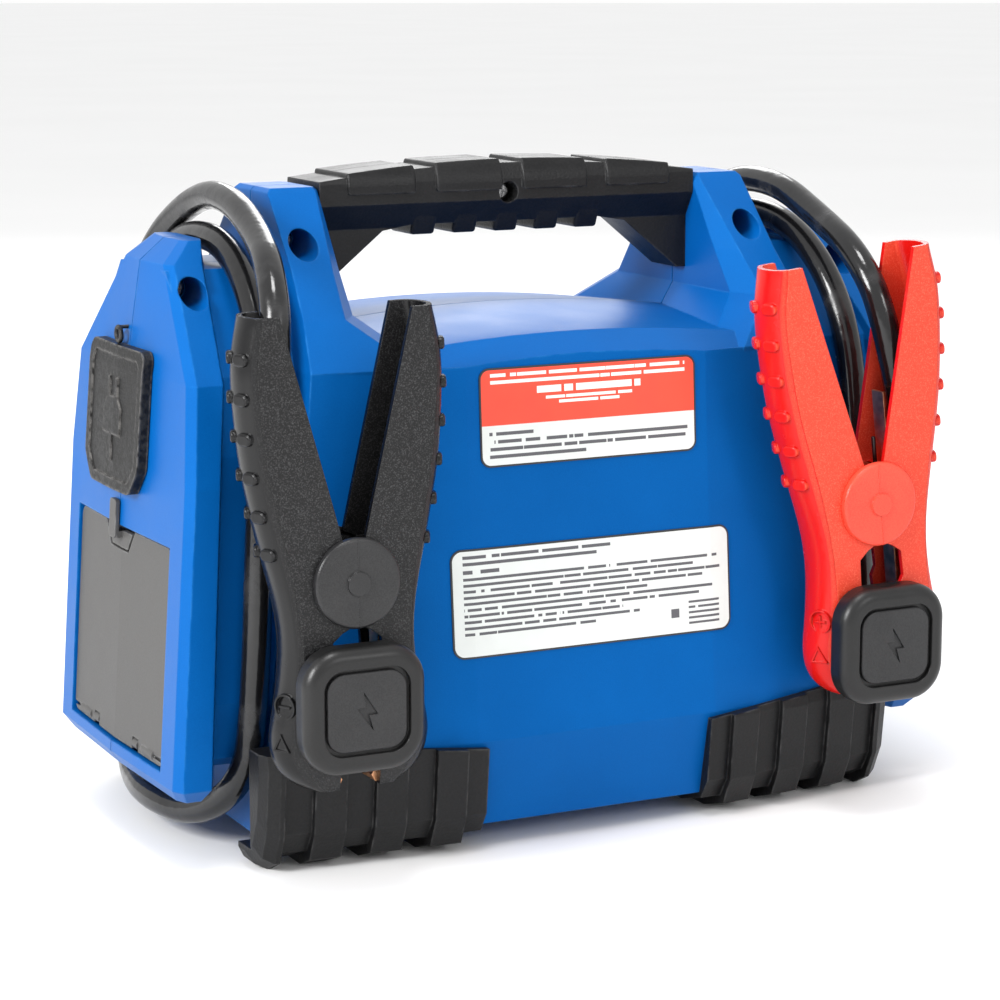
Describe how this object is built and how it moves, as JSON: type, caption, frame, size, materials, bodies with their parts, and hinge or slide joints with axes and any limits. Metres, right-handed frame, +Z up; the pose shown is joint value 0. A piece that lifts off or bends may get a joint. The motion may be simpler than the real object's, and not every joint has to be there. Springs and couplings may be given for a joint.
{
  "type": "jump starter pack",
  "caption": "Portable jump starter pack shaped like a cable spool, with sprung battery clamps on posts, wound cables, carrying grip and hose compartment.",
  "frame": {"origin": "on the ground, at the middle of the whole pack seen from above, clamp posts and feet included", "axes": "+Z up; +Y towards the side with the labels and the clamps; +X towards the end with the mains inlet and the hose compartment"},
  "size_m": [0.322, 0.2142, 0.2485],
  "materials": {
    "blue_shell": "moulded, fine satin texture, bright blue",
    "black_clamp_plastic": "moulded, grained cheeks and glossier rounded backs",
    "red_clamp_plastic": "moulded, grained cheeks and glossier rounded backs",
    "grip_rubber": "black, grained",
    "foot_rubber": "black, fine grain",
    "cover_rubber": "dull black, slightly rough",
    "cable_jacket": "glossy black",
    "dark_plastic": "charcoal, fine texture",
    "post_plastic": "black, satin",
    "badge_plastic": "dark grey",
    "steel": "zinc plated",
    "jaw_copper": "copper plated, toothed",
    "brass": "turned",
    "label_print": "printed light grey label with a red band and a black outline",
    "dial_print": "printed dial",
    "lens": "clear",
    "light": "translucent lamp domes",
    "red_plastic": "glossy red button",
    "battery_plastic": "black battery case",
    "lead": "dull grey terminal posts",
    "aluminium": "cast",
    "circuit": "green board"
  },
  "bodies": {
    "pack": {"front_shell": "blue_shell", "rear_shell": "blue_shell", "grip_front": "grip_rubber", "grip_rear": "grip_rubber", "grip_screw": "steel", "shell_screws": "steel", "foot_front_left": "foot_rubber", "foot_front_right": "foot_rubber", "foot_rear_left": "foot_rubber", "foot_rear_right": "foot_rubber", "black_clamp_post": "post_plastic", "red_clamp_post": "post_plastic", "black_post_badge": "badge_plastic", "red_post_badge": "badge_plastic", "black_clamp_cable_half": "black_clamp_plastic", "red_clamp_cable_half": "red_clamp_plastic", "black_cable_jaw": "jaw_copper", "red_cable_jaw": "jaw_copper", "black_clamp_spring": "steel", "red_clamp_spring": "steel", "black_pivot_pin": "steel", "red_pivot_pin": "steel", "black_pivot_caps": "black_clamp_plastic", "red_pivot_caps": "red_clamp_plastic", "black_cable": "cable_jacket", "red_cable": "cable_jacket", "black_cable_boot": "cable_jacket", "red_cable_boot": "cable_jacket", "upper_label": "label_print", "lower_label": "label_print", "cover_tether": "cover_rubber", "inlet_socket": "dark_plastic", "inlet_pins": "brass", "door_hinge_pin": "steel", "hose_compartment": "dark_plastic", "hose_outlet": "brass", "control_panel": "dark_plastic", "rocker_frame": "dark_plastic", "gauge_case": "post_plastic", "gauge_dial": "dial_print", "gauge_lens": "lens", "charge_lights": "light", "power_socket": "post_plastic", "battery_case": "battery_plastic", "battery_terminals": "lead", "compressor_motor": "steel", "compressor_head": "aluminium", "circuit_board": "circuit"},
    "black_clamp_arm": {"black_clamp_free_half": "black_clamp_plastic", "black_free_jaw": "jaw_copper"},
    "red_clamp_arm": {"red_clamp_free_half": "red_clamp_plastic", "red_free_jaw": "jaw_copper"},
    "door": {"hose_door": "dark_plastic"},
    "latch": {"door_latch": "dark_plastic"},
    "cover": {"inlet_cover": "cover_rubber"},
    "main_switch": {"main_switch_knob": "red_plastic"},
    "rocker": {"rocker_button": "post_plastic"},
    "test": {"test_button": "red_plastic"},
    "socket_cap": {"power_cap": "cover_rubber"},
    "needle": {"gauge_needle": "red_plastic"}
  },
  "joints": [
    {"name": "black_clamp_pivot", "type": "hinge", "parent": "pack", "child": "black_clamp_arm", "pos_m": [0.1082, 0.08507, 0.1118], "axis": [0, 1, 0], "range_deg": [0, 18], "stiffness_Nm_per_rad": 1.2, "springref_deg": -8.59},
    {"name": "red_clamp_pivot", "type": "hinge", "parent": "pack", "child": "red_clamp_arm", "pos_m": [-0.1065, 0.08507, 0.1215], "axis": [0, -1, 0], "range_deg": [0, 18], "stiffness_Nm_per_rad": 1.2, "springref_deg": -8.59},
    {"name": "door_hinge", "type": "hinge", "parent": "pack", "child": "door", "pos_m": [0.1573, -0.01443, 0.0384], "axis": [0, 1, 0], "range_deg": [0, 84]},
    {"name": "latch_flex", "type": "hinge", "parent": "door", "child": "latch", "pos_m": [0.1546, -0.01743, 0.1082], "axis": [0, 1, 0], "range_deg": [0, 12], "stiffness_Nm_per_rad": 0.05, "springref_deg": -1.15},
    {"name": "cover_tether_bend", "type": "hinge", "parent": "pack", "child": "cover", "pos_m": [0.1518, -0.01843, 0.1876], "axis": [0, -1, 0], "range_deg": [0, 110]},
    {"name": "main_switch_turn", "type": "hinge", "parent": "pack", "child": "main_switch", "pos_m": [-0.04, -0.10243, 0.086], "axis": [0, -1, 0], "range_deg": [0, 90]},
    {"name": "rocker_tilt", "type": "hinge", "parent": "pack", "child": "rocker", "pos_m": [0.04, -0.09343, 0.092], "axis": [1, 0, 0], "range_deg": [0, 10]},
    {"name": "test_button_press", "type": "slide", "parent": "pack", "child": "test", "axis": [0, 1, 0], "range_m": [0, 0.0025], "stiffness_N_per_m": 300, "springref_m": -0.0005},
    {"name": "socket_cap_hinge", "type": "hinge", "parent": "pack", "child": "socket_cap", "pos_m": [0, -0.10223, 0.1012], "axis": [-1, 0, 0], "range_deg": [0, 110]},
    {"name": "gauge_needle_turn", "type": "hinge", "parent": "pack", "child": "needle", "pos_m": [0.038, -0.09543, 0.137], "axis": [0, 1, 0], "range_deg": [0, 240], "stiffness_Nm_per_rad": 0.0002, "springref_deg": -5.73}
  ]
}
